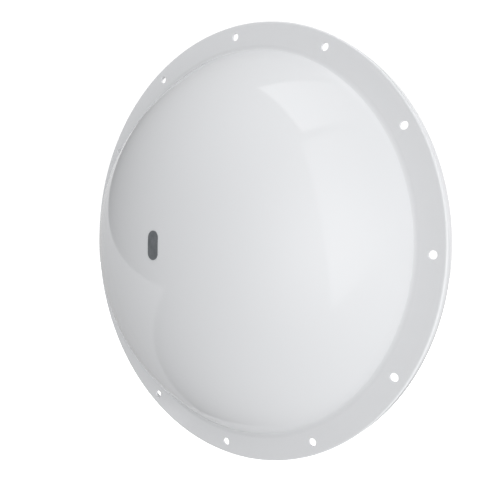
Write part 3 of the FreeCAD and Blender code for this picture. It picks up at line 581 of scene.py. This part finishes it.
# Corner radius of a hexagon, and heights of a head, a nut and a thin nut, over the screw radius.
HEXAGON_CORNER = 1.85
HEAD_RATIO = 1.28
NUT_RATIO = 1.6
THIN_NUT_RATIO = 1.15
# The chamfer of a hexagon starts at this share of its flats.
CHAMFER_START = 0.95
CHAMFER_ANGLE = 30.0
# Screw radius to thread pitch, the depth of a thread as a share of its pitch, and the cut at a screw's end.
PITCHES = {3: 1.0, 4: 1.25, 5: 1.5, 6: 1.75, 8: 2.0}
THREAD_DEPTH = 0.55
END_CHAMFER = 0.8
RUN_OUT = 0.6
BEARING_FACE = 0.25
HEAD_DOME = 0.15
HEAD_DOME_SHARE = 0.8
BORE_GAP = 0.1
BORE_CHAMFER = 0.5
BORE_CHAMFER_DEPTH = 0.6
HEXAGON_SEGMENTS = 72
SHANK_SEGMENTS = 40
CORE_SEGMENTS = 32
THREAD_SEGMENTS = 30


def hexagon_ring(radius, height, chamfer=0):
    """Outline of a hexagon; chamfer is 1 at a top edge, -1 at a bottom edge, cut back at its corners."""
    flat = radius * math.cos(math.pi / 6)

    def ring(angle):
        corner = (angle + math.pi / 6) % (math.pi / 3) - math.pi / 6
        distance = flat / math.cos(corner)
        drop = (distance - CHAMFER_START * flat) * math.tan(math.radians(CHAMFER_ANGLE))
        return distance, height - chamfer * drop
    return ring


def add_head(bm, radius, where):
    """A bolt head that sits behind the plane at height 0."""
    corner = radius * HEXAGON_CORNER
    height = -radius * HEAD_RATIO
    flat = corner * math.cos(math.pi / 6) * CHAMFER_START
    dome = height + HEAD_DOME
    skin(bm, [(0, 0), (flat, 0), (flat, -BEARING_FACE), hexagon_ring(corner, -BEARING_FACE),
              hexagon_ring(corner, height, -1), (flat, height), (flat * HEAD_DOME_SHARE, dome), (0, dome)],
         where, HEXAGON_SEGMENTS)


def add_nut(bm, radius, height, where):
    """A hexagon nut that stands on the plane at height 0."""
    corner = radius * HEXAGON_CORNER
    flat = corner * math.cos(math.pi / 6) * CHAMFER_START
    bore = radius - BORE_GAP
    mouth = radius + BORE_CHAMFER
    skin(bm, [(bore, BORE_CHAMFER_DEPTH), (mouth, 0), (flat, 0), hexagon_ring(corner, 0, -1),
              hexagon_ring(corner, height, 1), (flat, height), (mouth, height),
              (bore, height - BORE_CHAMFER_DEPTH)], where, HEXAGON_SEGMENTS, closed=True)


def add_shank(bm, radius, length, where, threaded):
    """A round shank that starts at height 0 and whose last part carries a thread."""
    plain = length - threaded
    root = radius - THREAD_DEPTH * PITCHES[round(radius)]
    if plain > 0:
        step = plain + RUN_OUT
        skin(bm, [(0, 0), (radius, 0), (radius, plain), (root, step), (0, step)], where, SHANK_SEGMENTS)
    skin(bm, [(0, plain), (root, plain), (root, length - END_CHAMFER), (root - END_CHAMFER, length),
              (0, length)], where, CORE_SEGMENTS)
    add_thread(bm, radius, root, plain, length - RUN_OUT, where)


def add_thread(bm, crest, root, start, finish, where, segments=THREAD_SEGMENTS):
    """A screw thread: rows of crests and roots that climb one pitch in a turn."""
    pitch = PITCHES[round(crest)]
    steps = (root, (crest + root) / 2, crest, (crest + root) / 2)
    count = len(steps)
    rows = int((finish - start) / pitch) * count + 2 * count
    columns = []
    for column in range(segments):
        angle = 2 * math.pi * column / segments
        vertices = []
        for row in range(rows):
            height = start + pitch * (row / count - 1 + column / segments)
            inside = start < height < finish
            radius = steps[row % count] if inside else root
            level = min(max(height, start), finish)
            point = Vector((radius * math.cos(angle), radius * math.sin(angle), level))
            vertices.append(bm.verts.new(where @ point))
        columns.append(vertices)
    columns.append(columns[0][count:])
    for left, right in zip(columns, columns[1:]):
        for row in range(min(len(left), len(right)) - 1):
            bm.faces.new((left[row], right[row], right[row + 1], left[row + 1]))


def both_sides(distance, reach, level):
    """A place on each side of the yoke that faces inwards."""
    return [((side * distance, -reach, level), ALONG_X * -side) for side in SIDES]


def ring_of(radius, count, start, reach):
    """Places on a circle about the boresight, facing back."""
    places = []
    for index in range(count):
        turn = math.radians(start + 360 * index / count)
        places.append(((radius * math.cos(turn), -reach, radius * math.sin(turn)), ALONG_Y))
    return places


KINGPIN_REACH = 90.0
PIVOT_REACH = 175.0
LOCK_LEVEL = 50.0
ROD_LEVEL = -75.0
ROD_REACH = 105.0
ROD_LOCK_REACH = 116.0
ADJUSTER_GAP = 14.6
HUB_BACK = 248.63
HUB_FRONT = 265.13
HUB_WASHER = 2.0
HUB_CIRCLE = 55.0
HUB_BOLTS = 6
HUB_START = 30.0
EARTH_LEVEL = 78.0
CLAMP_CORNERS = [(43.0 * side, 58.0 * level) for side in SIDES for level in SIDES]

# node: (body, screw radius, length from under the head, threaded length, places)
BOLTS = {
    "clamp_bolts": ("mast_mount", 5, 136.0, 62.0, [((x, -60, z), ALONG_Y) for x, z in CLAMP_CORNERS]),
    "kingpin_bolt": ("mast_mount", 8, 146.0, 34.0, [((0, -KINGPIN_REACH, 64), -ALONG_Z)]),
    "pivot_bolts": ("azimuth_yoke", 6, 37.8, 18.0, both_sides(84, PIVOT_REACH, 0)),
    "lock_bolts": ("azimuth_yoke", 5, 39.55, 20.0, both_sides(86, PIVOT_REACH, LOCK_LEVEL)),
    "hub_bolts": ("tilt_head", 4, 27.5, 14.0, ring_of(HUB_CIRCLE, HUB_BOLTS, HUB_START, HUB_FRONT)),
}
# node: (body, screw radius, height over the screw radius, places of the faces they bear on)
NUTS = {
    "clamp_nuts": ("clamp_jaws", 5, NUT_RATIO, [((x, 42, z), ALONG_Y) for x, z in CLAMP_CORNERS]),
    "kingpin_nut": ("mast_mount", 8, NUT_RATIO, [((0, -KINGPIN_REACH, -64), -ALONG_Z)]),
    "pivot_nuts": ("azimuth_yoke", 6, NUT_RATIO, both_sides(59.7, PIVOT_REACH, 0)),
    "lock_nuts": ("azimuth_yoke", 5, NUT_RATIO, both_sides(57.7, PIVOT_REACH, LOCK_LEVEL)),
    "rod_lock_nut": ("azimuth_yoke", 6, NUT_RATIO, [((0, -ROD_LOCK_REACH, ROD_LEVEL), ALONG_Y)]),
    "adjuster_nuts": ("adjuster_nuts", 6, THIN_NUT_RATIO,
                      [((0, -PIVOT_REACH + side * ADJUSTER_GAP, ROD_LEVEL), ALONG_Y * side)
                       for side in SIDES]),
    "hub_nuts": ("tilt_head", 4, NUT_RATIO, ring_of(HUB_CIRCLE, HUB_BOLTS, HUB_START, HUB_BACK - HUB_WASHER)),
    "earth_nut": ("tilt_head", 3, NUT_RATIO, [((0, -HUB_BACK, EARTH_LEVEL), ALONG_Y)]),
}
# node: (body, screw radius, length, place of its start); these are threaded from end to end
RODS = {
    "adjuster_rod": ("azimuth_yoke", 6, 112.0, ((0, -ROD_REACH, ROD_LEVEL), AHEAD)),
    "earth_stud": ("tilt_head", 3, 20.0, ((0, -HUB_BACK, EARTH_LEVEL), ALONG_Y)),
}


def make_steel(node, body, bm):
    """A plated steel piece that stands for one CAD node."""
    tidy(bm)
    make_piece(node + "_formed", bm, body, "plated_steel", [node])


def make_fasteners():
    """Bolts with heads and threads, chamfered nuts, and threaded rods."""
    for node, (body, radius, length, threaded, places) in BOLTS.items():
        bm = bmesh.new()
        for point, axis in places:
            where = on_axis(point, axis)
            add_head(bm, radius, where)
            add_shank(bm, radius, length, where, threaded)
        make_steel(node, body, bm)
    for node, (body, radius, ratio, places) in NUTS.items():
        bm = bmesh.new()
        for point, axis in places:
            add_nut(bm, radius, radius * ratio, on_axis(point, axis))
        make_steel(node, body, bm)
    for node, (body, radius, length, place) in RODS.items():
        bm = bmesh.new()
        add_shank(bm, radius, length, on_axis(*place), length)
        make_steel(node, body, bm)


# ---------------------------------------------------------------- small fittings

PORT_REACH = 223.83
BLOCK_HALF = 20.0
PORT_PAD_THICK = 3.0
PORT_RADIUS = 8.0
PORT_LENGTH = 18.0
PORT_THREAD_DEPTH = 0.2
PORT_THREAD_START = 6.0
PORT_THREAD_SEGMENTS = 40
COLLAR_RADIUS = 8.6
COLLAR_HEIGHT = 2.0
BASE_SCREW_PLACE = 8.6
# Half section of a base screw's head, hollow in the middle, as (radius, height).
BASE_SCREW = [(0, 0), (1.8, 0), (1.8, 0.9), (1.3, 1.4), (0.9, 1.4), (0.9, 0.7), (0, 0.7)]
BASE_SCREW_SEGMENTS = 20
CAP_RADIUS = 9.5
CAP_LENGTH = 9.0
CAP_DISH = 0.6
CAP_RIM = (2.2, 3.2)
CAP_SHOULDER = 1.0
CAP_FOOT = 0.4
CAP_NOSE = (0.3, 0.5)
CAP_RIBS = 30
CAP_RIB_DEPTH = 0.3
CAP_VALLEY = 0.35
CAP_SEGMENTS = 240
PORTS = [((0, -PORT_REACH, -BLOCK_HALF), -ALONG_Z), ((BLOCK_HALF, -PORT_REACH, 0), ALONG_X)]


def ribbed_ring(height, inset=0.0):
    """Outline of a dust cap with ribs for the fingers."""
    middle = CAP_RADIUS - CAP_VALLEY - inset
    return lambda angle: (middle + CAP_RIB_DEPTH * math.cos(CAP_RIBS * angle), height)


def make_connectors():
    """Threads, base screws and ribbed dust caps of the two coaxial connectors."""
    fittings = bmesh.new()
    caps = bmesh.new()
    for point, axis in PORTS:
        where = on_axis(point, axis)
        top = PORT_PAD_THICK + PORT_LENGTH
        add_thread(fittings, PORT_RADIUS + PORT_THREAD_DEPTH, PORT_RADIUS - PORT_THREAD_DEPTH,
                   PORT_THREAD_START, top, where, PORT_THREAD_SEGMENTS)
        collar_top = PORT_PAD_THICK + COLLAR_HEIGHT
        skin(fittings, [(0, PORT_PAD_THICK), (COLLAR_RADIUS, PORT_PAD_THICK), (COLLAR_RADIUS, collar_top),
                        (0, collar_top)], where)
        for x in SIDES:
            for y in SIDES:
                corner = (x * BASE_SCREW_PLACE, y * BASE_SCREW_PLACE, PORT_PAD_THICK)
                skin(fittings, BASE_SCREW, where @ Matrix.Translation(corner), BASE_SCREW_SEGMENTS)
        end = top + CAP_LENGTH
        dish = end - CAP_DISH
        skin(caps, [(0, top), (CAP_RADIUS - CAP_SHOULDER, top), ribbed_ring(top + CAP_FOOT),
                    ribbed_ring(end - CAP_SHOULDER), ribbed_ring(end - CAP_NOSE[0], CAP_NOSE[1]),
                    (CAP_RADIUS - CAP_RIM[0], end), (CAP_RADIUS - CAP_RIM[1], dish), (0, dish)],
             where, CAP_SEGMENTS)
    tidy(fittings)
    make_piece("connector_details", fittings, "feed", "connector_brass")
    tidy(caps)
    make_piece("dust_caps", caps, "feed", "cap_plastic", ["connector_caps"], sharp=40)


WELD_RADIUS = 3.2
WELD_STEP = 0.5
WELD_SEGMENTS = 16
RIPPLE_BASE = 0.3
RIPPLE_DEPTH = 0.22
RIPPLE_PITCH = 1.9
LUG_HALF_WIDTH = 24.0
LUG_LEVELS = ((50.0, 62.0), (-62.0, -50.0))
SADDLE_FRONT = 60.0


def make_welds():
    """Rippled weld beads where the kingpin lugs meet the saddle."""
    bm = bmesh.new()
    for low, high in LUG_LEVELS:
        half = LUG_HALF_WIDTH
        corners = [(-half, low), (half, low), (half, high), (-half, high)]
        for (x, z), (next_x, next_z) in zip(corners, corners[1:] + corners[:1]):
            way = Vector((next_x - x, 0, next_z - z))
            where = on_axis((x, -SADDLE_FRONT, z), way.normalized())
            steps = int(way.length / WELD_STEP)
            rings = [(0, 0)]
            for step in range(steps + 1):
                height = way.length * step / steps
                ripple = RIPPLE_DEPTH * abs(math.sin(math.pi * height / RIPPLE_PITCH))
                rings.append((WELD_RADIUS - RIPPLE_BASE + ripple, height))
            rings.append((0, way.length))
            skin(bm, rings, where, WELD_SEGMENTS)
            ball = arc((0, 0), WELD_RADIUS - RIPPLE_BASE / 2, -90, 90, WELD_SEGMENTS // 2)
            skin(bm, ball, on_axis((x, -SADDLE_FRONT, z), ALONG_Y), WELD_SEGMENTS)
    tidy(bm)
    make_piece("lug_welds", bm, "mast_mount", "painted_casting", sharp=60)


SCALE_RADIUS = 29.0
SCALE_SPAN = 15
TICK_WIDTH = 0.45
TICK_THICK = 0.25
LONG_TICK = 6.5
SHORT_TICK = 3.8
LONG_TICK_EVERY = 5
EAR_FACE = 70.0
ARM_FACE = 84.0
POINTER_THICK = 0.8
# Corners of a pointer, as (distance behind the pivot, level).
POINTER = [(-3.2, -16.0), (3.2, -16.0), (0, -23.0)]
# How far ticks and pointers reach into the face they stand on.
SUNK = 0.1


def make_scale():
    """Elevation scale on the ears, a tick for each degree, and a pointer on each arm."""
    ticks = bmesh.new()
    pointers = bmesh.new()
    for side in SIDES:
        for degree in range(-SCALE_SPAN, SCALE_SPAN + 1):
            length = SHORT_TICK if degree % LONG_TICK_EVERY else LONG_TICK
            turn = Matrix.Rotation(math.radians(degree), 4, "X")
            corners = []
            for depth in (-SUNK, TICK_THICK):
                start = Vector((side * (EAR_FACE + depth), -PIVOT_REACH, 0))
                for along, across in ((0, -1), (length, -1), (length, 1), (0, 1)):
                    place = turn @ Vector((0, across * TICK_WIDTH / 2, -SCALE_RADIUS - along))
                    corners.append(ticks.verts.new((start + place) * MM))
            add_prism(ticks, corners)
        tip = []
        for depth in (-SUNK, POINTER_THICK):
            for behind, level in POINTER:
                corner = Vector((side * (ARM_FACE + depth), -PIVOT_REACH + behind, level))
                tip.append(pointers.verts.new(corner * MM))
        add_prism(pointers, tip)
    for bm in (ticks, pointers):
        bmesh.ops.recalc_face_normals(bm, faces=bm.faces)
    make_piece("elevation_scale", ticks, "tilt_head", "badge_grey")
    make_piece("elevation_pointers", pointers, "azimuth_yoke", "plated_steel", bevel=0.2)


def add_prism(bm, corners):
    """Closes two equal outlines, one after the other in corners, into a prism."""
    count = len(corners) // 2
    bm.faces.new(corners[:count])
    bm.faces.new(corners[count:][::-1])
    for index in range(count):
        after = (index + 1) % count
        bm.faces.new((corners[index], corners[after], corners[count + after], corners[count + index]))


# ---------------------------------------------------------------- CAD nodes

# Points this near are joined, in metres, and faces this near to flat are merged, in degrees.
WELD_GAP = 1e-5
FLAT_ANGLE = 0.5
# Edges sharper than this are rounded, in degrees.
EDGE_ANGLE = 40.0
# Width of the rounded edges by slot, in millimetres.
EDGE_WIDTHS = {"painted_casting": 1.2, "plated_steel": 0.3, "feed_metal": 0.4, "nylon": 0.3,
               "connector_brass": 0.3, "dish_aluminium": 0.4, "seal_rubber": 0.3}


def finish_nodes():
    """Gives each CAD node its material, and rounded edges where it has sharp ones."""
    for part in frame["record"]["subparts"]:
        node = frame["nodes"][part["node"]]
        slot = part["material_slot"]
        for material_slot in node.material_slots:
            material_slot.material = materials[slot]
        if slot in EDGE_WIDTHS and not node.hide_render:
            weld = node.modifiers.new("weld", "WELD")
            weld.merge_threshold = WELD_GAP
            flatten = node.modifiers.new("flatten", "DECIMATE")
            flatten.decimate_type = "DISSOLVE"
            flatten.angle_limit = math.radians(FLAT_ANGLE)
            soften(node, EDGE_WIDTHS[slot], EDGE_ANGLE)


make_camera()
make_world()
make_floor()
make_radome()
make_fasteners()
make_connectors()
make_welds()
make_scale()
finish_nodes()
